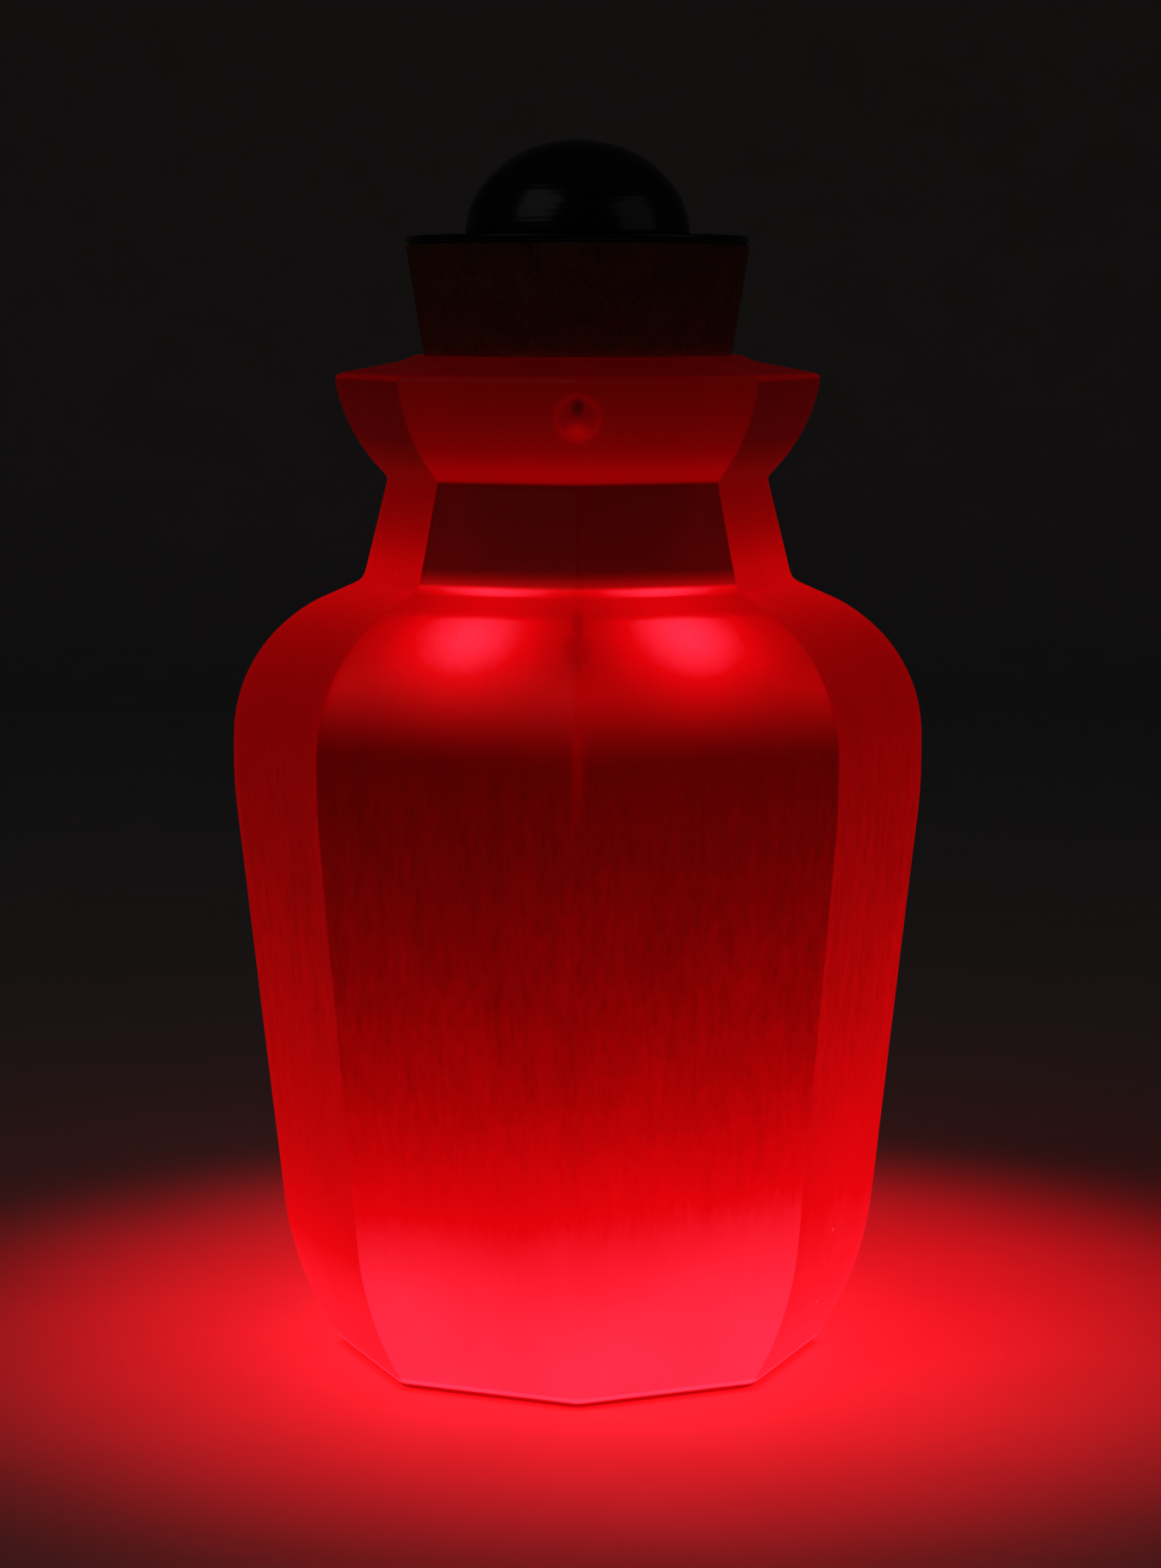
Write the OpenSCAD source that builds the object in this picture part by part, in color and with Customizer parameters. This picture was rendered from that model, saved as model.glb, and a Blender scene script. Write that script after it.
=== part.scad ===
// Illuminated stoppered jar: a thick octagonal glass jar, a tapered cork
// stopper with a domed knob, and a battery light that stands on the jar's floor.
// Origin: centre of the jar's foot, on the table. +Z up, front towards -Y.
// The octagon has a vertical edge on each of +X, -X, +Y and -Y.

/* [Jar outside] */
// Width across the flats at the top of the heel
heel_flats = 82.2; // [78:0.2:84]
// Height of the rounded heel
heel_h = 22.8; // [18:0.2:26]
// Radius of the heel's curve
heel_r = 50; // [45:1:55]
// Outward lean of the body wall in degrees
wall_lean = 5.8; // [4:0.1:6.5]
// Height at which the body is widest
belly_z = 90; // [86:0.5:91]
// Radius of the slight curve below the widest height
belly_r = 90; // [60:5:120]
// Height of the centre of the shoulder's curve
shoulder_z = 92.9; // [91:0.1:94]
// Radius of the shoulder's curve
shoulder_r = 23.3; // [22:0.1:24]
// Width across the flats at the foot of the neck
neck_flats = 58.6; // [57:0.1:60]
// Height of the foot of the neck
neck_z = 116.2; // [115.5:0.1:118]
// Width across the flats at the pinch under the collar
pinch_flats = 51.9; // [51:0.1:54]
// Height of the pinch under the collar
pinch_z = 131.2; // [130:0.1:133]
// Width across the flats at the rim of the collar
rim_flats = 66.4; // [64:0.2:70]
// Height of the rim of the collar
rim_z = 146; // [144:0.1:147]
// Radius of the collar's curve
collar_r = 26; // [20:1:40]
// Height of the glass at its mouth
mouth_z = 149; // [148.5:0.1:151]

/* [Jar inside] */
// Glass thickness at the middle of each flat
wall_t = 5.3; // [4.5:0.1:6]
// Thickness of the glass floor
floor_t = 9; // [7:0.5:11]
// Depth of the hollow under the foot
punt_depth = 2; // [1:0.5:3]

/* [Stopper] */
// Plug radius at its lower end
plug_r_low = 17.7; // [17.2:0.1:18.5]
// Plug radius at its upper end
plug_r_high = 25.3; // [24.5:0.1:26]
// Height of the plug's lower end when it is seated
plug_z = 118.5; // [118:0.5:122]
// Length of the plug
plug_len = 46.7; // [44:0.1:50]
// Gap between the seated plug and the glass
seat_gap = 0.2; // [0.1:0.05:0.4]
// Thickness of the disc under the knob
disc_t = 1.1; // [0.8:0.1:2]
// Radius of the knob at its base
knob_r = 16.5; // [14:0.5:18]
// Height of the knob
knob_h = 14; // [12:0.5:16]
// Radius of the dowel inside the stopper
dowel_r = 4; // [3:0.5:5]

/* [Light] */
// Outer radius of the light
light_r = 15; // [14.5:0.1:15.5]
// Height of the light above the jar's floor
light_h = 27; // [26:0.5:30]
// Radius of a coin cell
cell_r = 10; // [9.9:0.05:10]
// Thickness of a coin cell
cell_t = 3.2; // [3:0.1:3.2]
// Turn of the cap between locked and free, in degrees
twist = 40; // [30:5:45]

/* [Hidden] */
$fn = 64;

// How far a cutting shape runs past the face that it cuts
cut = 1;

// Octagon
SIDES = 8;

// Jar outline
rim_bevel = 0.9;
foot_bevel = 1;
lip_r = 24.9;
lip_step = 0.5;
lip_round = 0.4;
neck_fillet = 0.6;
shoulder_end = 60;

// Jar cavity
floor_corner_r = 4;
inner_shoulder_end = 58;
throat_z = plug_z - 2.5;
throat_drop = 3;
punt_r = 26;

// Dowel: how far it goes into the plug and the knob, and the play of close fits
dowel_low = 15.5;
dowel_high = 8.5;
fit_gap = 0.05;
hole_end = 0.5;
plug_edge = 0.6;
disc_inset = 0.2;

// Light, from the jar's floor upwards
pad_t = 1;
pad_inset = 2;
pad_groove_r = [4, 8];
pad_groove_w = 1.2;
pad_groove_depth = 0.4;
base_z = floor_t + pad_t;
base_bevel = 1;
flange_h = 7;
neck_r = light_r - 2.1;
pocket_r = cell_r + 0.4;
pocket_z = base_z + 1.6;
spring_h = 1.4;
spring_r = [2, 3.6, 8.1, 9];
spring_slot = [6, 1.6];
sheet_t = 0.3;
cells_z = pocket_z + spring_h;
cell_lid_r = 8.6;
cell_step = 0.5;
cell_edge = 0.3;
button_r = 2.5;
button_h = 0.8;
contact_in = 2.5;
contact_w = 3;
board_t = 1;
board_r = pocket_r + 0.8;
board_gap = 0.1;
contact_out = board_r - 0.4;
board_z = cells_z + 2 * cell_t + button_h;
ring_t = 0.8;
ring_w = 1.4;
neck_top = board_z + board_t + ring_t;
led_ring_r = 6.4;
led_r = 2.5;
led_h = 7;
led_flange = 0.4;
led_flange_h = 1;
chip_size = [4, 3, 1.2];
resistor_size = [3.2, 1.6, 0.6];
seal_r = 0.7;
cap_gap = 0.3;
cap_z = base_z + flange_h + 2 * seal_r + 0.2;
cap_top = floor_t + light_h;
cap_wall = 1.4;
cap_bevel = 0.4;
dome_h = 7;
lug_w = 20;
lug_h = 1.2;
lug_out = 0.8;
lug_z = cap_z + 1.6;
lug_root = 0.5;
lug_play = 0.3;
lug_slack = 2;
grip_count = 18;
grip_r = 1.1;
grip_out = 0.6 * grip_r;

// Height and half-width of the outside wall, and points along an arc
function wall_x(z) = heel_flats / 2 + (z - heel_h) * tan(wall_lean);
function plug_r(z) =
    plug_r_low + (z - plug_z) * (plug_r_high - plug_r_low) / plug_len;
function arc(cx, cz, r, from, to, n) =
    [for (i = [0:n]) let (a = from + (to - from) * i / n)
        [cx + r * cos(a), cz + r * sin(a)]];

// Outline of the jar from foot to mouth, as half-width across flats and height
function heel() =
    let (cz = heel_h + heel_r * sin(wall_lean))
    arc(heel_flats / 2 - heel_r * cos(wall_lean), cz, heel_r,
        -asin((cz - foot_bevel) / heel_r), -wall_lean, 7);
function belly_x() = wall_x(belly_z - belly_r * sin(wall_lean)) - belly_r * cos(wall_lean);
function belly() = arc(belly_x(), belly_z, belly_r, -wall_lean, 0, 3);
function shoulder_x() = belly_x() + belly_r - shoulder_r;
function shoulder() = arc(shoulder_x(), shoulder_z, shoulder_r, 0, shoulder_end, 9);
function collar() =
    let (
        low = [pinch_flats / 2, pinch_z],
        high = [rim_flats / 2, rim_z],
        chord = high - low,
        back = sqrt(pow(collar_r / norm(chord), 2) - 1 / 4),
        centre = (low + high) / 2 + back * [-chord[1], chord[0]]
    )
    arc(centre[0], centre[1], collar_r,
        -asin((centre[1] - pinch_z) / collar_r),
        -asin((centre[1] - rim_z) / collar_r), 6);
function outline() = concat(
    [[heel()[0][0] - foot_bevel, 0]],
    heel(),
    belly(),
    shoulder(),
    [
        [neck_flats / 2 + neck_fillet, neck_z - neck_fillet / 2],
        [neck_flats / 2, neck_z + neck_fillet / 2]
    ],
    collar(),
    [
        [rim_flats / 2 - rim_bevel, rim_z + rim_bevel / 2],
        [lip_r, mouth_z - lip_step]
    ]
);

// Round inside of the jar
function cavity() = concat(
    [[0, floor_t]],
    arc(wall_x(heel_h) - wall_t - floor_corner_r, floor_t + floor_corner_r,
        floor_corner_r, -90, 0, 6),
    arc(shoulder_x(), shoulder_z, shoulder_r - wall_t, 0, inner_shoulder_end, 6),
    [
        [plug_r(plug_z) + seat_gap + throat_drop, throat_z - throat_drop],
        [plug_r(plug_z) + seat_gap, throat_z],
        [plug_r(plug_z) + seat_gap, plug_z],
        [plug_r(mouth_z) + seat_gap, mouth_z],
        [plug_r(mouth_z) + seat_gap, mouth_z + cut],
        [0, mouth_z + cut]
    ]
);

module ring(r_in, r_out, z, h) {
    translate([0, 0, z])
        rotate_extrude()
            translate([r_in, 0]) square([r_out - r_in, h]);
}

module sector(r_in, r_out, z, h, from, width) {
    translate([0, 0, z])
        rotate([0, 0, from])
            rotate_extrude(angle = width)
                translate([r_in, 0]) square([r_out - r_in, h]);
}

// The outline on both sides of the axis, as a bar
module outline_bar() {
    pts = outline();
    rotate([90, 0, 0])
        linear_extrude(2 * rim_flats, center = true)
            polygon(concat(
                pts,
                [for (i = [len(pts) - 1:-1:0]) [-pts[i][0], pts[i][1]]]
            ));
}

// Four bars crossed, which leaves eight flats with a vertical edge on each axis
module octagon_body() {
    intersection_for (k = [0:SIDES / 2 - 1])
        rotate([0, 0, (k + 0.5) * 360 / SIDES]) outline_bar();
}

module glass_jar() {
    punt_ball_r = (punt_r * punt_r + punt_depth * punt_depth) / (2 * punt_depth);
    color("red", 0.6)
        difference() {
            union() {
                octagon_body();
                ring(plug_r_low, lip_r - lip_round, rim_z, mouth_z - rim_z);
            }
            rotate_extrude() polygon(cavity());
            translate([0, 0, punt_depth - punt_ball_r]) sphere(r = punt_ball_r);
        }
}

module stopper_plug() {
    top = plug_z + plug_len;
    color("sienna")
        difference() {
            rotate_extrude()
                polygon([
                    [0, plug_z], [plug_r_low - plug_edge, plug_z],
                    [plug_r(plug_z + plug_edge), plug_z + plug_edge],
                    [plug_r(top - plug_edge), top - plug_edge],
                    [plug_r_high - plug_edge, top], [0, top]
                ]);
            translate([0, 0, top - dowel_low - hole_end])
                cylinder(r = dowel_r + fit_gap, h = dowel_low + hole_end + cut);
        }
}

module cap_disc() {
    color("black")
        ring(dowel_r + fit_gap, plug_r_high - disc_inset, plug_z + plug_len, disc_t);
}

module dome_knob() {
    base = plug_z + plug_len + disc_t;
    steps = 12;
    color("black")
        difference() {
            rotate_extrude()
                polygon(concat(
                    [[0, base]],
                    [for (i = [0:steps])
                        [knob_r * cos(90 * i / steps),
                         base + knob_h * sin(90 * i / steps)]]
                ));
            translate([0, 0, base - cut])
                cylinder(r = dowel_r + fit_gap, h = cut + dowel_high + hole_end);
        }
}

module knob_dowel() {
    color("burlywood")
        translate([0, 0, plug_z + plug_len - dowel_low])
            cylinder(r = dowel_r, h = dowel_low + disc_t + dowel_high);
}

module grip_pad() {
    color("dimgray")
        difference() {
            translate([0, 0, floor_t]) cylinder(r = light_r - pad_inset, h = pad_t);
            for (r = pad_groove_r)
                ring(r, r + pad_groove_w, floor_t - cut, cut + pad_groove_depth);
        }
}

module light_base() {
    color("whitesmoke") {
        difference() {
            union() {
                rotate_extrude()
                    polygon([
                        [0, base_z], [light_r - base_bevel, base_z],
                        [light_r, base_z + base_bevel], [light_r, base_z + flange_h],
                        [neck_r, base_z + flange_h], [neck_r, neck_top],
                        [0, neck_top]
                    ]);
                for (k = [0:2])
                    sector(neck_r - lug_root, neck_r + lug_out, lug_z, lug_h,
                        k * 120 - lug_w / 2, lug_w);
            }
            translate([0, 0, pocket_z]) cylinder(r = pocket_r, h = light_h);
            translate([0, 0, board_z]) cylinder(r = board_r, h = light_h);
            translate([0, -contact_w / 2 - board_gap, pocket_z])
                cube([board_r - board_gap, contact_w + 2 * board_gap, board_z - pocket_z]);
            grips(base_z - cut, flange_h + 2 * cut);
        }
    }
}

module grips(z, h) {
    for (k = [0:grip_count - 1])
        rotate([0, 0, (k + 0.5) * 360 / grip_count])
            translate([light_r + grip_out, 0, z])
                cylinder(r = grip_r, h = h);
}

module battery_spring() {
    low = pocket_z + sheet_t;
    high = pocket_z + spring_h;
    color("silver")
        difference() {
            rotate_extrude()
                polygon([
                    [spring_r[0], high - sheet_t], [spring_r[1], high - sheet_t],
                    [spring_r[2], low], [spring_r[3], low],
                    [spring_r[3], low + sheet_t], [spring_r[2], low + sheet_t],
                    [spring_r[1], high], [spring_r[0], high]
                ]);
            for (k = [0:2])
                rotate([0, 0, 60 + k * 120])
                    translate([spring_r[0] - cut, -spring_slot[1] / 2, pocket_z])
                        cube([spring_slot[0], spring_slot[1], spring_h + cut]);
        }
}

module coin_cell(z) {
    color("silver")
        rotate_extrude()
            polygon([
                [0, z], [cell_lid_r, z], [cell_lid_r + cell_edge, z + cell_step],
                [cell_r - cell_edge, z + cell_step], [cell_r, z + cell_step + cell_edge],
                [cell_r, z + cell_t - cell_edge], [cell_r - cell_edge, z + cell_t],
                [0, z + cell_t]
            ]);
}

module cell_lower() coin_cell(cells_z);

module cell_upper() coin_cell(cells_z + cell_t);

module side_contact() {
    color("goldenrod") {
        translate([contact_in, -contact_w / 2, pocket_z])
            cube([contact_out - contact_in, contact_w, sheet_t]);
        translate([contact_out - sheet_t, -contact_w / 2, pocket_z])
            cube([sheet_t, contact_w, board_z - pocket_z]);
    }
}

module centre_contact() {
    color("goldenrod")
        translate([0, 0, board_z - button_h]) cylinder(r = button_r, h = button_h);
}

module led_board() {
    color("darkgreen")
        translate([0, 0, board_z]) cylinder(r = board_r - board_gap, h = board_t);
}

module led(k) {
    z = board_z + board_t;
    flange_r = led_r + led_flange;
    color("red")
        rotate([0, 0, 90 + k * 120])
            translate([led_ring_r, 0, 0])
                rotate_extrude()
                    polygon(concat(
                        [
                            [0, z], [flange_r, z],
                            [flange_r, z + led_flange_h], [led_r, z + led_flange_h]
                        ],
                        arc(0, z + led_h - led_r, led_r, 0, 90, 6)
                    ));
}

module led_1() led(0);

module led_2() led(1);

module led_3() led(2);

module driver_chip() {
    color("black")
        translate([-chip_size[0] / 2, -chip_size[1] / 2, board_z + board_t])
            cube(chip_size);
}

module resistor() {
    color("black")
        rotate([0, 0, 30])
            translate([led_ring_r, 0, board_z + board_t])
                translate([-resistor_size[0] / 2, -resistor_size[1] / 2, 0])
                    cube(resistor_size);
}

module board_ring() {
    color("white")
        ring(board_r - ring_w, board_r, board_z + board_t, ring_t);
}

module sealing_ring() {
    color("black")
        translate([0, 0, base_z + flange_h + seal_r + fit_gap])
            rotate_extrude()
                translate([neck_r + seal_r + fit_gap, 0])
                    circle(r = seal_r, $fn = 24);
}

module light_cap() {
    dome_z = cap_top - dome_h;
    steps = 8;
    in_r = neck_r + cap_gap;
    track_r = neck_r + lug_out + cap_gap;
    color("white", 0.5)
        difference() {
            rotate_extrude()
                polygon(concat(
                    [[0, cap_z], [light_r - cap_bevel, cap_z], [light_r, cap_z + cap_bevel]],
                    [for (i = [0:steps])
                        [light_r * cos(90 * i / steps),
                         dome_z + dome_h * sin(90 * i / steps)]]
                ));
            rotate_extrude()
                polygon(concat(
                    [[0, cap_z - cut], [in_r, cap_z - cut], [in_r, dome_z]],
                    [for (i = [1:steps])
                        [in_r * cos(90 * i / steps),
                         dome_z + (dome_h - cap_wall) * sin(90 * i / steps)]]
                ));
            for (k = [0:2]) {
                from = k * 120 - lug_w / 2 - lug_slack - twist;
                entry_w = lug_w + 2 * lug_slack;
                sector(in_r - lug_root, track_r, lug_z - lug_play, lug_h + 2 * lug_play,
                    from, entry_w + twist);
                sector(in_r - lug_root, track_r, cap_z - cut, lug_z - cap_z + cut,
                    from, entry_w);
            }
            grips(cap_z - cut, dome_z - cap_z);
        }
}

glass_jar();
stopper_plug();
cap_disc();
dome_knob();
knob_dowel();
grip_pad();
light_base();
battery_spring();
cell_lower();
cell_upper();
side_contact();
centre_contact();
led_board();
led_1();
led_2();
led_3();
driver_chip();
resistor();
board_ring();
sealing_ring();
light_cap();
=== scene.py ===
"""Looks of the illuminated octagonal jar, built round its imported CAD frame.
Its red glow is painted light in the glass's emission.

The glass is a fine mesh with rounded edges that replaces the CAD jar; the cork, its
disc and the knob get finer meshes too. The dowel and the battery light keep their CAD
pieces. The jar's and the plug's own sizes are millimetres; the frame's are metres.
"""

import math

import bpy
import numpy as np
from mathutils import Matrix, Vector, noise


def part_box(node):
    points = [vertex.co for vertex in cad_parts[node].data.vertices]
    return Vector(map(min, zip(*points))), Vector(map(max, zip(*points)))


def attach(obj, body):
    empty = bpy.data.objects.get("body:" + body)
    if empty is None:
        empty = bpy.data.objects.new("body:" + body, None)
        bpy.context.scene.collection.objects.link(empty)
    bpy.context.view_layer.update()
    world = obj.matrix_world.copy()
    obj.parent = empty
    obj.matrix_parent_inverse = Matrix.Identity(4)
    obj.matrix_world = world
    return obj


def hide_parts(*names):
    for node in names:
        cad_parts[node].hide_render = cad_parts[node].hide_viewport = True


MM = 0.001
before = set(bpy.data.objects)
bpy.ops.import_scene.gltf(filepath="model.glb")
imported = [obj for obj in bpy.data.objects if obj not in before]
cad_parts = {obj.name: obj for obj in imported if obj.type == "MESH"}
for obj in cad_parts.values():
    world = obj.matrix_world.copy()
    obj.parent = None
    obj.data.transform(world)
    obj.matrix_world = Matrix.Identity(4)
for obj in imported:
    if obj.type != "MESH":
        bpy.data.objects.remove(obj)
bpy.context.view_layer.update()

# ---------------------------------------------------------------- sizes
_, JAR_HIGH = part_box("glass_jar")
PLUG_LOW, PLUG_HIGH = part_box("stopper_plug")
DISC_LOW, DISC_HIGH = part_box("cap_disc")
KNOB_LOW, KNOB_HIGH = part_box("dome_knob")
SIDES = 8
SECTOR = 2 * math.pi / SIDES
FLAT = math.cos(SECTOR / 2)
MOUTH = JAR_HIGH.z / MM
BELLY = JAR_HIGH.x / MM * FLAT


# ---------------------------------------------------------------- camera
CAMERA_LENS, CAMERA_SENSOR = 87.17, 36.0
CAMERA_X, CAMERA_Y, CAMERA_Z = 0.4, -561.6, 155.5
CAMERA_TILT = 7.107


def make_camera():
    """An 87 mm view from the height of the cork, looking 7 degrees down."""
    data = bpy.data.cameras.new("camera")
    data.lens = CAMERA_LENS
    data.sensor_width = CAMERA_SENSOR
    data.clip_start = 0.01
    camera = bpy.data.objects.new("camera", data)
    camera.location = (CAMERA_X * MM, CAMERA_Y * MM, CAMERA_Z * MM)
    camera.rotation_euler = (math.radians(90 - CAMERA_TILT), 0, 0)
    bpy.context.scene.collection.objects.link(camera)
    bpy.context.scene.camera = camera


make_camera()
bpy.context.scene.view_settings.view_transform = "Standard"


# ---------------------------------------------------------------- node helpers
class Nodes:
    """A material and short ways to add nodes to it."""

    def __init__(self, name):
        self.material = bpy.data.materials.new(name)
        self.material.use_nodes = True
        self.tree = self.material.node_tree
        self.tree.nodes.clear()
        self.output = self.add("OutputMaterial")

    def add(self, kind, inputs=None, **settings):
        node = self.tree.nodes.new("ShaderNode" + kind)
        for key, value in settings.items():
            setattr(node, key, value)
        for key, value in (inputs or {}).items():
            self.put(value, node.inputs[key])
        return node

    def put(self, value, socket):
        if isinstance(value, bpy.types.NodeSocket):
            self.tree.links.new(value, socket)
        else:
            socket.default_value = value

    def place(self):
        """The point on the piece, in its own space."""
        return self.add("TexCoord").outputs["Object"]

    def height(self):
        return self.add("SeparateXYZ", {0: self.place()}).outputs["Z"]

    def value(self, name):
        """A number that the mesh carries."""
        return self.add("Attribute", attribute_name=name).outputs["Fac"]

    def math(self, operation, a, b=0.0, c=0.0):
        return self.add("Math", {0: a, 1: b, 2: c}, operation=operation).outputs[0]

    def times(self, *values):
        """The product of several numbers."""
        product = values[0]
        for value in values[1:]:
            product = self.math("MULTIPLY", product, value)
        return product

    def between(self, share, a, b):
        """A number share of the way from a to b."""
        return self.add("Mix", {0: share, 2: a, 3: b}, data_type="FLOAT").outputs[0]

    def span(self, value, low, high, new_low=0.0, new_high=1.0):
        """value, carried from the range low..high to new_low..new_high."""
        inputs = {0: value, 1: low, 2: high, 3: new_low, 4: new_high}
        return self.add("MapRange", inputs, clamp=True).outputs[0]

    def smooth(self, value, low, high):
        """0 below the range, 1 above it, and an easy curve between."""
        inputs = {0: value, 1: low, 2: high}
        return self.add("MapRange", inputs, interpolation_type="SMOOTHSTEP").outputs[0]

    def ramp(self, value, stops):
        """A colour or grey that changes along value; stops are (place, colour)."""
        node = self.add("ValToRGB", {0: value})
        elements = node.color_ramp.elements
        while len(elements) < len(stops):
            elements.new(0.5)
        for element, (place, colour) in zip(elements, stops):
            element.position = place
            grey = isinstance(colour, (int, float))
            element.color = (colour,) * 3 + (1,) if grey else (*colour, 1)
        return node.outputs[0]

    def noise(self, scale, detail, rough, stretch=(1, 1, 1), distort=0.0):
        where = self.add("Mapping", {0: self.place(), 3: stretch}).outputs[0]
        inputs = {"Vector": where, "Scale": scale, "Detail": detail}
        inputs.update({"Roughness": rough, "Distortion": distort})
        return self.add("TexNoise", inputs).outputs[0]

    def cells(self, scale, feature="F1"):
        inputs = {"Vector": self.place(), "Scale": scale}
        return self.add("TexVoronoi", inputs, feature=feature).outputs["Distance"]

    def mix(self, share, a, b):
        """A colour share of the way from a to b."""
        node = self.add("Mix", data_type="RGBA")
        for socket, value in ((0, share), (6, a), (7, b)):
            four = not isinstance(value, bpy.types.NodeSocket) and socket > 0
            self.put((*value, 1) if four else value, node.inputs[socket])
        return node.outputs[2]

    def bump(self, height, distance, strength=1.0, before=None):
        inputs = {"Height": height, "Distance": distance, "Strength": strength}
        if before is not None:
            inputs["Normal"] = before
        return self.add("Bump", inputs).outputs[0]

    def principled(self, **inputs):
        names = {key.replace("_", " "): value for key, value in inputs.items()}
        for key in ("Base Color", "Emission Color"):
            if isinstance(names.get(key), tuple):
                names[key] = (*names[key], 1)
        shader = self.add("BsdfPrincipled", names)
        self.tree.links.new(shader.outputs[0], self.output.inputs["Surface"])


# ---------------------------------------------------------------- mesh helpers
def new_piece(name, points, faces, body):
    """A smooth mesh piece that rides on a body."""
    mesh = bpy.data.meshes.new(name)
    mesh.from_pydata([tuple(p) for p in points], [], faces)
    mesh.validate()
    mesh.shade_smooth()
    piece = bpy.data.objects.new(name, mesh)
    bpy.context.scene.collection.objects.link(piece)
    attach(piece, body)
    return piece


def skin(rings, first_centre, last_centre):
    """Points and faces of a closed skin over rings of points, with a centre at each end."""
    count, columns = rings.shape[:2]
    points = [first_centre, *rings.reshape(-1, 3), last_centre]
    last = len(points) - 1

    def at(ring, column):
        return 1 + ring * columns + column % columns

    faces = []
    for j in range(columns):
        faces.append((0, at(0, j + 1), at(0, j)))
        faces.append((last, at(count - 1, j), at(count - 1, j + 1)))
        for i in range(count - 1):
            faces.append((at(i, j), at(i, j + 1), at(i + 1, j + 1), at(i + 1, j)))
    return points, faces


def arc(cx, cz, r, start, end, count):
    """Points along an arc, in degrees from the outward direction."""
    angles = np.radians(np.linspace(start, end, count + 1))
    return [(cx + r * math.cos(t), cz + r * math.sin(t)) for t in angles]


def resampled(points, spacing, soften):
    """A polyline of (half-width, height, roundness) at an even spacing, its corners softened."""
    points = np.array(points, float)
    steps = np.linalg.norm(np.diff(points[:, :2], axis=0), axis=1)
    along = np.concatenate([[0], np.cumsum(steps)])
    count = int(along[-1] / spacing)
    places = np.linspace(0, along[-1], count)
    line = np.stack([np.interp(places, along, points[:, k]) for k in range(3)], axis=1)
    reach = int(3 * soften / spacing) + 1
    weights = np.exp(-0.5 * (np.arange(-reach, reach + 1) * spacing / soften) ** 2)
    weights /= weights.sum()
    before = 2 * line[0] - line[reach:0:-1]
    after = 2 * line[-1] - line[-2 : -reach - 2 : -1]
    longer = np.concatenate([before, line, after])
    return np.stack([np.convolve(longer[:, k], weights, "valid") for k in range(3)], axis=1)


def lathe_rings(outline, columns):
    """Rings of points round the Z axis from an outline of (radius, height) in millimetres."""
    angles = np.linspace(0, 2 * math.pi, columns, endpoint=False)
    turn = np.stack([np.cos(angles), np.sin(angles)], axis=1)
    return np.array([[(r * c, r * s, z) for c, s in turn] for r, z in outline]) * MM


# ---------------------------------------------------------------- glass jar
WALL = 5.3
FLOOR = 9.0
PUNT_R, PUNT_DEPTH = 26.0, 2.0
HEEL_X, HEEL_Z, HEEL_R, LEAN = 41.1, 22.8, 50.0, 5.8
BELLY_Z, BELLY_R = 90.0, 90.0
SHOULDER_Z, SHOULDER_R = 92.9, 23.3
NECK_X, NECK_Z = 29.3, 116.2
PINCH_X, PINCH_Z = 25.95, 131.2
RIM_X, RIM_Z, COLLAR_R = 33.2, 146.0, 26.0
LIP_X = 24.6
BORE_MOUTH, BORE_LOW, THROAT_Z = 22.85, 17.9, 116.0
COLUMN_STEPS = (0, 0.35, 0.7, 1.1, 1.6, 2.2, 3.0, 4.0, 5.4, 7.3, 9.8, 12.9, 16.3, 19.5)
ROUND = 1.0
SHOULDER_X = BELLY - SHOULDER_R
OUTER_RIPPLE, INNER_RIPPLE = 0.05, 0.22


def collar_arc():
    low, high = np.array([PINCH_X, PINCH_Z]), np.array([RIM_X, RIM_Z])
    chord = high - low
    back = math.sqrt((COLLAR_R / np.linalg.norm(chord)) ** 2 - 0.25)
    cx, cz = (low + high) / 2 + back * np.array([-chord[1], chord[0]])
    start = -math.degrees(math.asin((cz - PINCH_Z) / COLLAR_R))
    end = -math.degrees(math.asin((cz - RIM_Z) / COLLAR_R))
    return arc(cx, cz, COLLAR_R, start, end, 16)


def outer_outline():
    """From the middle of the foot, up the outside to the lip: half-width, height, roundness."""
    lean = math.radians(LEAN)
    heel_z = HEEL_Z + HEEL_R * math.sin(lean)
    heel_x = HEEL_X - HEEL_R * math.cos(lean)
    heel_start = -math.degrees(math.asin((heel_z - 0.6) / HEEL_R))
    heel = arc(heel_x, heel_z, HEEL_R, heel_start, -LEAN, 20)
    belly = arc(BELLY - BELLY_R, BELLY_Z, BELLY_R, -LEAN, 0, 8)
    shoulder = arc(SHOULDER_X, SHOULDER_Z, SHOULDER_R, 0, 60, 24)
    punt = [(r, PUNT_DEPTH * (1 - (r / PUNT_R) ** 2), ROUND) for r in np.linspace(1, PUNT_R, 14)]
    return (
        punt
        + [(heel[0][0] - 0.9, 0, 0.07)]
        + [(x, z, 0.055) for x, z in heel]
        + [(x, z, 0.045) for x, z in belly + shoulder]
        + [(NECK_X + 0.4, NECK_Z - 0.2, 0.05), (NECK_X, NECK_Z + 0.5, 0.055)]
        + [(x, z, 0.04) for x, z in collar_arc()]
        + [(RIM_X - 0.9, RIM_Z + 0.5, 0.045), (LIP_X + 0.7, MOUTH - 0.75, 0.9)]
        + [(LIP_X, MOUTH - 0.2, ROUND), (LIP_X - 0.5, MOUTH, ROUND)]
    )


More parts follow.
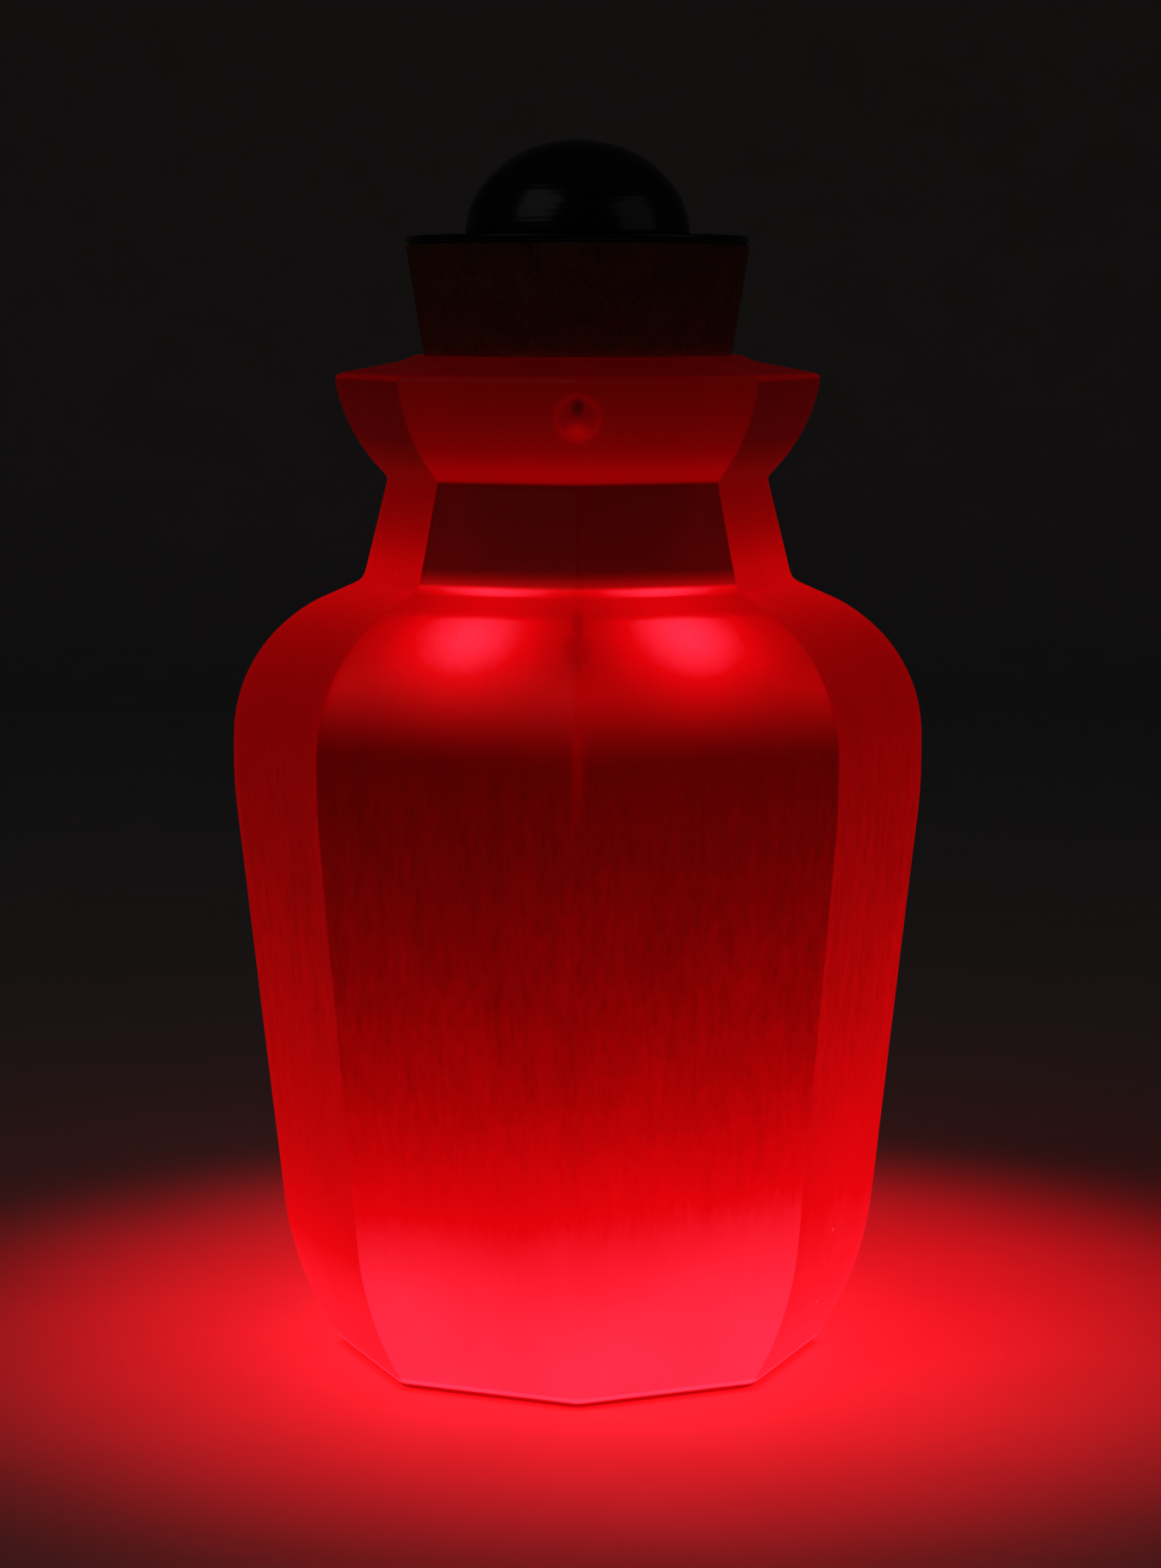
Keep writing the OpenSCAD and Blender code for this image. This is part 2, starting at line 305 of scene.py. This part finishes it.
def inner_outline():
    """From the lip down the bore and the round cavity to the middle of the floor."""
    corner = 4.0
    shoulder = arc(SHOULDER_X, SHOULDER_Z, SHOULDER_R - WALL, 58, 0, 16)
    floor = arc(HEEL_X - WALL - corner, FLOOR + corner, corner, 0, -90, 14)
    points = [(BORE_MOUTH + 0.5, MOUTH), (BORE_MOUTH, MOUTH - 0.5)]
    points += [(BORE_LOW, THROAT_Z + 2.5), (BORE_LOW, THROAT_Z), (BORE_LOW + 3, THROAT_Z - 3)]
    points += shoulder + floor + [(1.0, FLOOR)]
    return [(x, z, ROUND) for x, z in points]


def azimuths():
    """Column angles, close together at the eight upright edges."""
    steps = np.radians(COLUMN_STEPS)
    half = np.concatenate([steps, [SECTOR / 2]])
    other = SECTOR - steps[:0:-1]
    return np.concatenate([k * SECTOR + np.concatenate([half, other]) for k in range(SIDES)])


def section(half_width, roundness, angles):
    """Radii at angles of an octagon with rounded corners; roundness 1 is a circle."""
    aside = np.abs((angles % SECTOR) - SECTOR / 2)
    corner_r = roundness * half_width
    centre = (half_width - corner_r) / FLAT
    turn = SECTOR / 2 - aside
    inside = np.maximum(corner_r**2 - (centre * np.sin(turn)) ** 2, 0)
    flat = half_width * np.tan(aside) <= (half_width - corner_r) * math.tan(SECTOR / 2)
    return np.where(flat, half_width / np.cos(aside), centre * np.cos(turn) + np.sqrt(inside))


def ripple(place, scale, seed):
    """A smooth random number at a place, for the waviness of pressed glass."""
    return noise.noise(Vector(place) * scale + Vector((seed, 0, 0)))


def make_jar():
    """The glass: octagon outside, round inside, with how far each point is from an edge."""
    outer = resampled(outer_outline(), 0.8, 0.45)
    inner = resampled(inner_outline(), 1.6, 0.7)
    outline = np.concatenate([outer, inner])
    angles = azimuths()
    rings = np.empty((len(outline), len(angles), 3))
    for row, (x, z, roundness) in enumerate(outline):
        r = section(x, min(roundness, 1.0), angles)
        rings[row] = np.stack([r * np.cos(angles), r * np.sin(angles), np.full_like(r, z)], axis=1)
    for row, (x, _, _) in enumerate(outline):
        for point in rings[row]:
            if row < len(outer):
                swell = -OUTER_RIPPLE * (0.5 + ripple(point, 0.09, 0.0))
            else:
                swell = INNER_RIPPLE * min(ripple(point, 0.055, 7.0), 0.4)
            point[:2] *= 1 + swell / max(x, 5)
    points, faces = skin(rings * MM, (0, 0, PUNT_DEPTH * MM), (0, 0, FLOOR * MM))
    jar = new_piece("satin_jar", points, faces, "jar")
    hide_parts("glass_jar")
    across = np.abs((angles % SECTOR) - SECTOR / 2) / (SECTOR / 2)
    facet = np.concatenate([[0], np.tile(1 - across, len(outline)), [0]])
    jar.data.attributes.new("facet", "FLOAT", "POINT").data.foreach_set("value", facet)
    jar.data.materials.append(satin_glass())
    jar.data.materials.append(inner_glass())
    first_inner = 1 + len(outer) * len(angles)
    for polygon in jar.data.polygons:
        polygon.material_index = int(min(polygon.vertices) >= first_inner)


# The glow, painted light in the glass's emission, with painted highlights and painted shade in
# it. Its pattern repeats on all eight facets; only the drop, the tear, the thread and a slight
# painted lean of the light to one side do not. Heights, reaches and radii are millimetres.
FLOOR_LEVEL, FLOOR_REACH, FLOOR_POWER = 1.1, 38, 3
WALL_LEVEL, WALL_REACH, WALL_POWER = 0.95, 45, 2
HAZE = 0.02
NECK_LEVEL, NECK_REACH = 0.35, 6
PATCH_LEVEL, PATCH_LOW, PATCH_HIGH = 0.6, 93, 112
LOBE_LEVEL, LOBE_Z, LOBE_HALF = 0.5, 109, 8
CREASE_SHADE_DEPTH = 0.25
# The neck's painted glow fades out below PLUG_SEEN_Z: painted shade of the cork seen through the glass.
UNDER_LEVEL, PLUG_SEEN_Z = 0.6, 121.5
NECK_LINE_HIGHLIGHT = 0.2
FLARE_LEVEL, FLARE_REACH = 0.17, 2.5
COLLAR_LEVEL = 0.07
RIM_LEVEL, HEEL_LEVEL = 0.06, 0.2
CORNER_LEVEL, OUTLINE_LEVEL = 0.02125, 0.2
SQUARE_ON, EDGE_ON = 0.45, 0.6
DROP_Z, DROP_R, TEAR_Z = 140.7, 3, 109.3
TEAR_WIDE, TEAR_HIGH = 2, 2.2
# The painted glow's colour against its brightness as a share of PALEST: red at first, then pink.
PALEST = 1.3
GLOW_COLOUR = ((0, (1, 0, 0.001)), (0.6, (1, 0.001, 0.004)), (1, (1, 0.034, 0.085)))


def fade(n, distance, reach, power=2):
    """1 at no distance, a half at the reach, and falling off beyond it."""
    share = n.math("POWER", n.math("DIVIDE", distance, reach), power)
    return n.math("DIVIDE", 1.0, n.math("ADD", 1.0, share))


def off(n, value, middle):
    """How far a value is from its middle."""
    return n.math("ABSOLUTE", n.math("SUBTRACT", value, middle))


class GlassPoint:
    """Where a point lies on the jar, in millimetres, and how edge-on its wall is seen.

    facet is 0 at the upright edges and 1 in the middle of a facet.
    """

    def __init__(self, n):
        point = n.add("VectorMath", {0: n.place(), 3: 1 / MM}, operation="SCALE").outputs[0]
        axes = n.add("SeparateXYZ", {0: point}).outputs
        self.x, self.z = axes["X"], axes["Z"]
        self.side = n.add("LayerWeight", {"Blend": 0.5}).outputs["Facing"]
        self.facet = n.value("facet")

    def ellipse(self, n, height, wide, high):
        """Distance from a point on the front and back edges, 1 on an ellipse round it."""
        x = n.math("DIVIDE", self.x, wide)
        z = n.math("DIVIDE", n.math("SUBTRACT", self.z, height), high)
        return n.math("SQRT", n.math("ADD", n.times(x, x), n.times(z, z)))


def wall_glow(n, here):
    """Painted light, as if led up inside the wall, which gathers again at the foot of the neck."""
    z = here.z
    up = n.times(fade(n, z, WALL_REACH, WALL_POWER), WALL_LEVEL)
    neck = n.times(fade(n, off(n, z, NECK_Z + 0.8), NECK_REACH), NECK_LEVEL)
    return n.times(n.math("ADD", up, neck), n.span(z, PINCH_Z, PINCH_Z + 6, 1, 0.5))


def square_on_glow(n, here):
    """Painted light of a panel seen square on: lit foot, shoulder patch and crease shade, plug shade,
    neck line and collar.
    """
    z, facet = here.z, here.facet
    # Painted light: the foot glows brightest at the bottom and fades upward.
    foot = n.times(fade(n, z, FLOOR_REACH, FLOOR_POWER), FLOOR_LEVEL)

    # Painted shade: the shoulder patch darker near the upright edges, from height 103 up.
    crease_shade = n.times(n.span(facet, 0, 0.4, 1, 0), CREASE_SHADE_DEPTH, n.span(z, 103, 107))
    # Painted highlight: lobes in the middle of each facet's shoulder patch.
    lobe_height = fade(n, off(n, z, LOBE_Z), LOBE_HALF)
    lobe = n.times(n.smooth(facet, 0.2, 1), lobe_height, LOBE_LEVEL)
    bright = n.math("SUBTRACT", n.math("ADD", lobe, PATCH_LEVEL), crease_shade)
    patch = n.times(n.smooth(z, PATCH_LOW, PATCH_HIGH), bright)
    patch = n.times(patch, n.span(z, NECK_Z, NECK_Z + 0.8, 1, 0))

    # Painted shade of the cork seen through the neck: the neck's glow fades out below PLUG_SEEN_Z.
    under = n.times(n.smooth(n.math("SUBTRACT", PLUG_SEEN_Z, z), 2, 7), UNDER_LEVEL)
    neck = n.times(under, n.span(z, NECK_Z, NECK_Z + 0.4))
    # Painted highlight: a thin bright line at the foot of the neck.
    neck_line_highlight = n.span(off(n, z, NECK_Z), 0.05, 0.8, NECK_LINE_HIGHLIGHT, 0)

    # Painted light of the collar, brightest just above the pinch.
    flare = n.times(fade(n, off(n, z, PINCH_Z + 1.2), FLARE_REACH), FLARE_LEVEL)
    collar = n.times(n.math("ADD", COLLAR_LEVEL, flare), n.span(z, 131, 131.5))
    collar = n.times(collar, n.span(z, 138, 147, 1, 0.5))
    glow = HAZE
    for part in (foot, patch, neck, neck_line_highlight, collar):
        glow = n.math("ADD", glow, part)
    return glow


def painted_edge_marks(n, here, glow):
    """Painted light and shade of the drop, tear and thread on the front and back edges, and of seeds in
    the glass.
    """
    # Painted highlight: a bright ring round the drop and a bright spot below it.
    drop = here.ellipse(n, DROP_Z, DROP_R, DROP_R)
    ring = n.times(fade(n, off(n, drop, 1), 0.15, 4), 0.04)
    lower = n.times(fade(n, here.ellipse(n, DROP_Z - 1.8, 1.5, 1), 1, 4), 0.14)
    glow = n.math("ADD", n.math("ADD", glow, ring), lower)
    # Painted highlight: the thread, a bright line along the front and back edges.
    thread_highlight = n.times(fade(n, n.math("ABSOLUTE", here.x), 0.8, 4), n.span(here.z, 84, 92), 0.06)
    glow = n.math("ADD", glow, n.times(thread_highlight, n.span(here.z, 97, 100, 1, 0)))
    # Painted shade: darker spots in the tear, its stem and the drop's core.
    tear = n.span(here.ellipse(n, TEAR_Z, TEAR_WIDE, TEAR_HIGH), 0.7, 1.3, 0.84, 1)
    tear_stem_shade = n.span(here.ellipse(n, TEAR_Z + 3.4, 0.9, 1.6), 0.6, 1.2, 0.82, 1)
    drop_core_shade = n.span(here.ellipse(n, DROP_Z + 1.5, 0.9, 1.3), 0.4, 1.3, 0.35, 1)
    # Painted highlights: small bright spots at the seeds.
    seed_glints = n.span(n.cells(80), 0.014, 0.028, 1.5, 1)
    return n.times(glow, tear, tear_stem_shade, drop_core_shade, seed_glints)


def edge_on_glow(n, here, wall, lean):
    """Painted light of a panel seen edge-on: the wall's glow, and highlights on its outline, upright
    edges and rim.
    """
    side, z = here.side, here.z
    # Painted highlight along the outline, where the wall is seen most edge-on.
    outline = n.times(n.span(side, 0.6, 0.95, 0, OUTLINE_LEVEL), n.span(z, 30, 60))
    # Painted highlight lines along the upright edges.
    corner = n.times(fade(n, here.facet, 0.15, 4), n.span(z, 30, 60, 0, CORNER_LEVEL))
    corner = n.times(corner, n.span(z, 134, 140, 1, 0.3))
    glow = n.math("ADD", n.times(wall, n.math("ADD", outline, 1.0), lean), corner)
    # Painted highlight along the rim.
    return n.math("ADD", glow, n.span(off(n, z, RIM_Z), 0.15, 0.6, RIM_LEVEL, 0))


def streaked_glow(n, z, glow):
    """Fine streaks and flecks in the painted glow of the dim middle of the body, and faint clouds in it
    all over.
    """
    streaks = n.span(n.noise(420, 4, 0.65, (1, 1, 0.08)), 0.25, 0.75, -0.15, 0.15)
    flecks = n.span(n.noise(1000, 4, 0.7, (1, 1, 0.25)), 0.25, 0.75, -0.24, 0.24)
    dim = n.times(n.span(z, 25, 60, 0.04, 1), n.span(z, 86, 98, 1, 0.1))
    glow_streaks = n.math("MULTIPLY_ADD", n.math("ADD", streaks, flecks), dim, 1.0)
    cloud = n.span(n.noise(45, 3, 0.5), 0.3, 0.7, 0.96, 1.04)
    return n.times(glow, glow_streaks, cloud)


def satin_relief(n, here):
    """The frosted surface, its faint peel, and the dimples of the drop and the tear."""
    frost = n.bump(n.noise(2600, 2, 0.6), 0.00002, 0.5)
    peel = n.bump(n.noise(70, 2, 0.4), 0.00004, 0.3, frost)
    drop = n.span(here.ellipse(n, DROP_Z, DROP_R, DROP_R), 0.7, 1.1, 1, 0)
    tear = n.span(here.ellipse(n, TEAR_Z, TEAR_WIDE, TEAR_HIGH), 0.8, 1.1, 1, 0)
    return n.bump(n.math("MAXIMUM", drop, tear), 0.0003, 0.6, peel)


def satin_glass():
    """The frosted outside of the jar, with its red glow from within painted into the emission."""
    n = Nodes("satin_glass")
    here = GlassPoint(n)
    z = here.z
    wall = wall_glow(n, here)
    body = n.times(n.span(z, 12, 35), n.span(z, 85, 105, 1, 0))
    # lean: the body's painted glow brighter towards +X and dimmer towards -X, as light falling more on
    # one side.
    lean = n.between(body, 1.0, n.span(here.x, -40, 40, 0.85, 1.15))
    square_on = n.times(square_on_glow(n, here), lean)
    turned = n.span(here.side, SQUARE_ON, EDGE_ON)
    glow = n.between(turned, square_on, edge_on_glow(n, here, wall, lean))
    # Painted highlight along the foot's edge at height 1.5, and painted contact shadow darkening the
    # lowest 0.8 mm.
    heel = n.span(off(n, z, 1.5), 0.15, 0.5, HEEL_LEVEL, 0)
    glow = n.times(n.math("ADD", glow, heel), n.span(z, 0.8, 1.2, 0.45, 1))
    glow = streaked_glow(n, z, painted_edge_marks(n, here, glow))
    n.principled(
        Base_Color=n.mix(n.span(z, 60, 149, 0, 0.0012), (0, 0, 0), (1, 0.008, 0.012)),
        Roughness=n.span(n.noise(420, 4, 0.6), 0.3, 0.7, 0.38, 0.46),
        IOR=1.5,
        Specular_IOR_Level=0.12,
        Transmission_Weight=1.0,
        Emission_Color=n.ramp(n.math("DIVIDE", glow, PALEST), GLOW_COLOUR),
        Emission_Strength=glow,
        Normal=satin_relief(n, here),
    )
    return n.material


def inner_glass():
    """The wall of the hollow, with a faint painted glow, behind the satin outside."""
    n = Nodes("inner_glass")
    height = n.span(n.height(), 0, MOUTH * MM)
    # Painted light: the inner wall's glow, strongest near the floor and fading upward.
    level = n.ramp(height, [(0.06, 0.4), (0.25, 0.12), (0.5, 0.03), (1, 0.02)])
    wave = n.span(n.noise(60, 3, 0.5), 0.3, 0.7, 0.8, 1.2)
    n.principled(
        Base_Color=(0.7, 0.06, 0.06),
        Roughness=0.12,
        IOR=1.5,
        Transmission_Weight=1.0,
        Emission_Color=(1, 0.003, 0.008),
        Emission_Strength=n.times(level, wave),
    )
    return n.material


make_jar()


# ---------------------------------------------------------------- stopper
PLUG_LOW_R, PLUG_TOP_R = 17.7, 25.3


def cork():
    """Sanded agglomerated cork: granules, dark lenticels and a waxed, darkened face."""
    n = Nodes("cork")
    granule = n.cells(760)
    seams = n.cells(760, "DISTANCE_TO_EDGE")
    tone = n.noise(210, 5, 0.7)
    fine = n.noise(1900, 3, 0.6)
    dark, middle, light = (0.13, 0.045, 0.028), (0.2, 0.08, 0.048), (0.29, 0.13, 0.078)
    colour = n.ramp(tone, [(0.3, dark), (0.5, middle), (0.72, light)])
    colour = n.mix(n.span(granule, 0.1, 0.5, 0.4, 0.0), colour, (0.31, 0.145, 0.09))
    colour = n.mix(n.span(seams, 0.0, 0.08, 0.35, 0.0), colour, (0.07, 0.026, 0.017))
    pores = n.noise(430, 4, 0.8, (1, 1, 0.3))
    colour = n.mix(n.span(pores, 0.6, 0.7, 0.0, 0.85), colour, (0.028, 0.012, 0.009))
    colour = n.mix(n.span(fine, 0.35, 0.65, 0.0, 0.25), colour, (0.36, 0.2, 0.12))
    relief = n.bump(n.math("SUBTRACT", n.times(seams, 0.4), n.times(pores, 0.8)), 0.0003, 0.5)
    n.principled(
        Base_Color=colour,
        Roughness=n.span(tone, 0.3, 0.7, 0.72, 0.9),
        Specular_IOR_Level=0.3,
        Normal=n.bump(fine, 0.00008, 0.5, relief),
    )
    return n.material


def black_lacquer(name):
    """Brushed-on black lacquer, glossy, with faint lathe rings and dust in it."""
    n = Nodes(name)
    swirl = n.noise(160, 4, 0.6, (1, 1, 6))
    specks = n.noise(2300, 2, 0.7)
    n.principled(
        Base_Color=n.ramp(swirl, [(0.35, (0.006, 0.005, 0.005)), (0.7, (0.013, 0.011, 0.011))]),
        Roughness=n.span(swirl, 0.3, 0.7, 0.2, 0.34),
        Coat_Weight=0.6,
        Coat_Roughness=0.16,
        Normal=n.bump(specks, 0.00002, 0.35, n.bump(swirl, 0.00006, 0.25)),
    )
    return n.material


def make_plug():
    """The cork: a cone with eased edges, small pits and grain."""
    low, high = PLUG_LOW.z / MM, PLUG_HIGH.z / MM
    slope = (PLUG_TOP_R - PLUG_LOW_R) / (high - low)
    rows = np.linspace(low + 0.9, high - 0.7, 100)
    side = [(PLUG_LOW_R + slope * (z - low) - 0.06, z) for z in rows]
    bottom = [(r, low) for r in np.linspace(1, PLUG_LOW_R - 1.6, 16)]
    top = [(r, high) for r in np.linspace(PLUG_TOP_R - 1.3, 1, 20)]
    outline = bottom + [(PLUG_LOW_R - 0.6, low + 0.15), (PLUG_LOW_R - 0.12, low + 0.5)]
    outline += side + [(PLUG_TOP_R - 0.25, high - 0.3), (PLUG_TOP_R - 0.65, high - 0.06)] + top
    rings = lathe_rings(outline, 300)
    for row in rings:
        for point in row:
            spot = Vector(point) * 1000
            pit = noise.noise(Vector((spot.x * 0.34, spot.y * 0.34, spot.z * 0.2)))
            grain = noise.noise(spot * 0.9 + Vector((40, 0, 0)))
            depth = 0.75 * max(pit - 0.42, 0) / 0.5 + 0.05 * max(grain, 0)
            radius = math.hypot(point[0], point[1])
            point[:2] *= 1 - min(depth, 0.8) * MM / max(radius, 0.004)
    points, faces = skin(rings, (0, 0, PLUG_LOW.z), (0, 0, PLUG_HIGH.z))
    plug = new_piece("cork_plug", points, faces, "stopper")
    plug.data.materials.append(cork())
    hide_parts("stopper_plug")


def make_cap():
    """The thin lacquered disc on the cork and the domed knob on the disc."""
    radius, low, high = DISC_HIGH.x / MM, DISC_LOW.z / MM, DISC_HIGH.z / MM
    edge = 0.35
    outline = [(r, low) for r in np.linspace(1, radius - edge, 12)]
    outline += arc(radius - edge, low + edge, edge, -80, 0, 5)
    outline += arc(radius - edge, high - edge, edge, 0, 80, 5)
    outline += [(r, high) for r in np.linspace(radius - edge - 0.3, 1, 16)]
    points, faces = skin(lathe_rings(outline, 192), (0, 0, low * MM), (0, 0, high * MM))
    disc = new_piece("lacquered_disc", points, faces, "stopper")
    disc.data.materials.append(black_lacquer("disc_lacquer"))
    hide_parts("cap_disc")

    radius, low, high = KNOB_HIGH.x / MM, KNOB_LOW.z / MM, KNOB_HIGH.z / MM
    outline = [(r, low) for r in np.linspace(1, radius - 0.5, 10)]
    for turn in np.radians(np.linspace(1.5, 88, 64)):
        ring = 1 - 0.0012 * (1 + math.sin(turn * 90))
        outline.append((radius * math.cos(turn) * ring, low + (high - low) * math.sin(turn) * ring))
    points, faces = skin(lathe_rings(outline, 192), (0, 0, low * MM), (0, 0, high * MM - 0.00003))
    knob = new_piece("domed_knob", points, faces, "stopper")
    knob.data.materials.append(black_lacquer("knob_lacquer"))
    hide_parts("dome_knob")


make_plug()
make_cap()


# ---------------------------------------------------------------- finishes of the CAD pieces
def wood(name):
    """Planed wood, with grain along Z and darker rays."""
    n = Nodes(name)
    grain = n.noise(900, 5, 0.7, (1, 1, 0.06), 0.4)
    rays = n.noise(1600, 2, 0.5, (1, 0.3, 0.2))
    colour = n.ramp(grain, [(0.3, (0.34, 0.2, 0.1)), (0.7, (0.55, 0.37, 0.21))])
    n.principled(
        Base_Color=n.mix(n.span(rays, 0.6, 0.75, 0, 0.5), colour, (0.25, 0.13, 0.06)),
        Roughness=n.span(grain, 0.3, 0.7, 0.5, 0.65),
        Normal=n.bump(grain, 0.00008, 0.4),
    )
    return n.material


def moulded(name, dark, light, roughness, scale=1400, **extra):
    """Moulded plastic or rubber: a slightly uneven colour and a fine spark-eroded grain."""
    n = Nodes(name)
    tone = n.noise(110, 3, 0.5)
    grain = n.noise(scale, 3, 0.6)
    n.principled(
        Base_Color=n.ramp(tone, [(0.3, dark), (0.7, light)]),
        Roughness=n.span(grain, 0.3, 0.7, roughness - 0.06, roughness + 0.08),
        Normal=n.bump(grain, 0.00003, 0.4),
        **extra,
    )
    return n.material


def metal(name, dark, light, roughness, stretch=(1, 1, 0.1)):
    """Plated metal: fine drawing lines and small stains."""
    n = Nodes(name)
    lines = n.noise(2200, 3, 0.6, stretch)
    stain = n.noise(190, 4, 0.6)
    n.principled(
        Base_Color=n.ramp(stain, [(0.35, dark), (0.65, light)]),
        Metallic=1.0,
        Roughness=n.span(lines, 0.3, 0.7, roughness - 0.07, roughness + 0.1),
        Normal=n.bump(lines, 0.00002, 0.35),
    )
    return n.material


def circuit_board():
    """Green solder mask with paler tracks and tinned pads."""
    n = Nodes("circuit_board")
    tracks = n.cells(420, "DISTANCE_TO_EDGE")
    weave = n.noise(1500, 2, 0.5)
    colour = n.mix(n.span(tracks, 0.04, 0.07, 1, 0), (0.008, 0.1, 0.045), (0.02, 0.2, 0.09))
    tinned = n.span(n.cells(300), 0.13, 0.16, 1, 0)
    n.principled(
        Base_Color=n.mix(tinned, colour, (0.6, 0.58, 0.52)),
        Metallic=tinned,
        Roughness=n.span(weave, 0.3, 0.7, 0.3, 0.42),
        Normal=n.bump(tracks, 0.00004, 0.3),
    )
    return n.material


def red_lamp():
    """Clear red resin with the lit die glowing in the middle of it."""
    n = Nodes("red_lamp")
    uneven = n.noise(700, 2, 0.5)
    n.principled(
        Base_Color=(0.9, 0.02, 0.03),
        Roughness=n.span(uneven, 0.3, 0.7, 0.06, 0.14),
        Transmission_Weight=0.5,
        Emission_Color=n.ramp(uneven, [(0.3, (1, 0.008, 0.015)), (0.7, (1, 0.03, 0.05))]),
        Emission_Strength=1.6,
        Normal=n.bump(uneven, 0.00003, 0.3),
    )
    return n.material


def clear_plastic():
    """Clear moulded plastic, faintly hazed by its mould."""
    n = Nodes("clear_plastic")
    haze = n.noise(600, 3, 0.6)
    n.principled(
        Base_Color=(0.93, 0.92, 0.91),
        Roughness=n.span(haze, 0.3, 0.7, 0.16, 0.3),
        IOR=1.49,
        Transmission_Weight=0.9,
        Normal=n.bump(haze, 0.00003, 0.3),
    )
    return n.material


def finish_cad_pieces():
    finishes = {
        "beech": wood("beech"),
        "silicone": moulded("silicone", (0.05, 0.05, 0.055), (0.075, 0.075, 0.08), 0.6),
        "white_plastic": moulded("white_plastic", (0.66, 0.65, 0.62), (0.74, 0.73, 0.7), 0.42),
        "spring_steel": metal("spring_steel", (0.5, 0.49, 0.47), (0.62, 0.61, 0.6), 0.28, (0.3, 0.3, 1)),
        "cell_steel": metal("cell_steel", (0.6, 0.59, 0.56), (0.7, 0.69, 0.67), 0.3, (0.1, 1, 1)),
        "contact_brass": metal("contact_brass", (0.62, 0.42, 0.16), (0.75, 0.56, 0.26), 0.3),
        "circuit_board": circuit_board(),
        "red_lamp": red_lamp(),
        "chip_black": moulded("chip_black", (0.014, 0.014, 0.015), (0.022, 0.022, 0.023), 0.5, 2600),
        "seal_rubber": moulded("seal_rubber", (0.012, 0.012, 0.012), (0.02, 0.02, 0.02), 0.55),
        "clear_plastic": clear_plastic(),
    }
    pieces = {
        "knob_dowel": "beech",
        "grip_pad": "silicone",
        "light_base": "white_plastic",
        "battery_spring": "spring_steel",
        "cell_lower": "cell_steel",
        "cell_upper": "cell_steel",
        "side_contact": "contact_brass",
        "centre_contact": "contact_brass",
        "led_board": "circuit_board",
        "led_1": "red_lamp",
        "led_2": "red_lamp",
        "led_3": "red_lamp",
        "driver_chip": "chip_black",
        "resistor": "chip_black",
        "board_ring": "white_plastic",
        "sealing_ring": "seal_rubber",
        "light_cap": "clear_plastic",
    }
    for node, slot in pieces.items():
        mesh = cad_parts[node].data
        mesh.materials.clear()
        mesh.materials.append(finishes[slot])


finish_cad_pieces()


# ---------------------------------------------------------------- stage
def make_stage():
    """A plain pale floor that curves up behind."""
    floor_mesh = bpy.data.meshes.new("floor")
    rows = [(-1.4, 0), (1.0, 0)] + arc(1.0, 0.6, 0.6, -90, 0, 12) + [(1.6, 2.5)]
    points = [(x, y, z) for y, z in rows for x in (-2.5, 2.5)]
    faces = [(2 * i, 2 * i + 1, 2 * i + 3, 2 * i + 2) for i in range(len(rows) - 1)]
    floor_mesh.from_pydata(points, [], faces)
    floor_mesh.shade_smooth()
    floor = bpy.data.objects.new("floor", floor_mesh)
    bpy.context.scene.collection.objects.link(floor)
    n = Nodes("pale_floor")
    dark, light = (0.68, 0.67, 0.66), (0.74, 0.73, 0.72)
    n.principled(
        Base_Color=n.ramp(n.noise(25, 4, 0.6), [(0.3, dark), (0.7, light)]),
        Roughness=0.62,
        Normal=n.bump(n.noise(700, 3, 0.6), 0.00004, 0.4),
    )
    floor_mesh.materials.append(n.material)
    return floor


def add_lamp(name, kind, place, power, **settings):
    """A lamp of a power in watts at a place."""
    data = bpy.data.lights.new(name, kind)
    data.energy = power
    for key, value in settings.items():
        setattr(data, key, value)
    lamp = bpy.data.objects.new(name, data)
    lamp.location = place
    bpy.context.scene.collection.objects.link(lamp)
    return lamp


def aim(lamp, target):
    direction = Vector(target) - lamp.location
    lamp.rotation_euler = direction.to_track_quat("-Z", "Y").to_euler()


def light_scene(floor):
    """Soft, low studio light, and the pool of red light that the jar throws."""
    middle = (0, 0, 0.09)
    aim(add_lamp("key", "AREA", (-0.7, -0.6, 0.9), 0.17, size=0.8), middle)
    aim(add_lamp("fill", "AREA", (0.9, -0.4, 0.6), 0.08, size=0.8), middle)
    world = bpy.data.worlds.new("studio")
    world.use_nodes = True
    background = world.node_tree.nodes["Background"]
    background.inputs[0].default_value = (0.8, 0.82, 0.85, 1)
    background.inputs[1].default_value = 0.004
    bpy.context.scene.world = world

    cone = {"spot_size": math.radians(57.6), "spot_blend": 1.0, "shadow_soft_size": 0.015}
    red = (1, 0.004, 0.012)
    pool = add_lamp("pool", "SPOT", (0.009, 0.013, 0.25), 3.05, color=red, **cone)
    lit = bpy.data.collections.new("lit_by_pool")
    lit.objects.link(floor)
    pool.light_linking.receiver_collection = lit
    pool.light_linking.blocker_collection = lit


light_scene(make_stage())
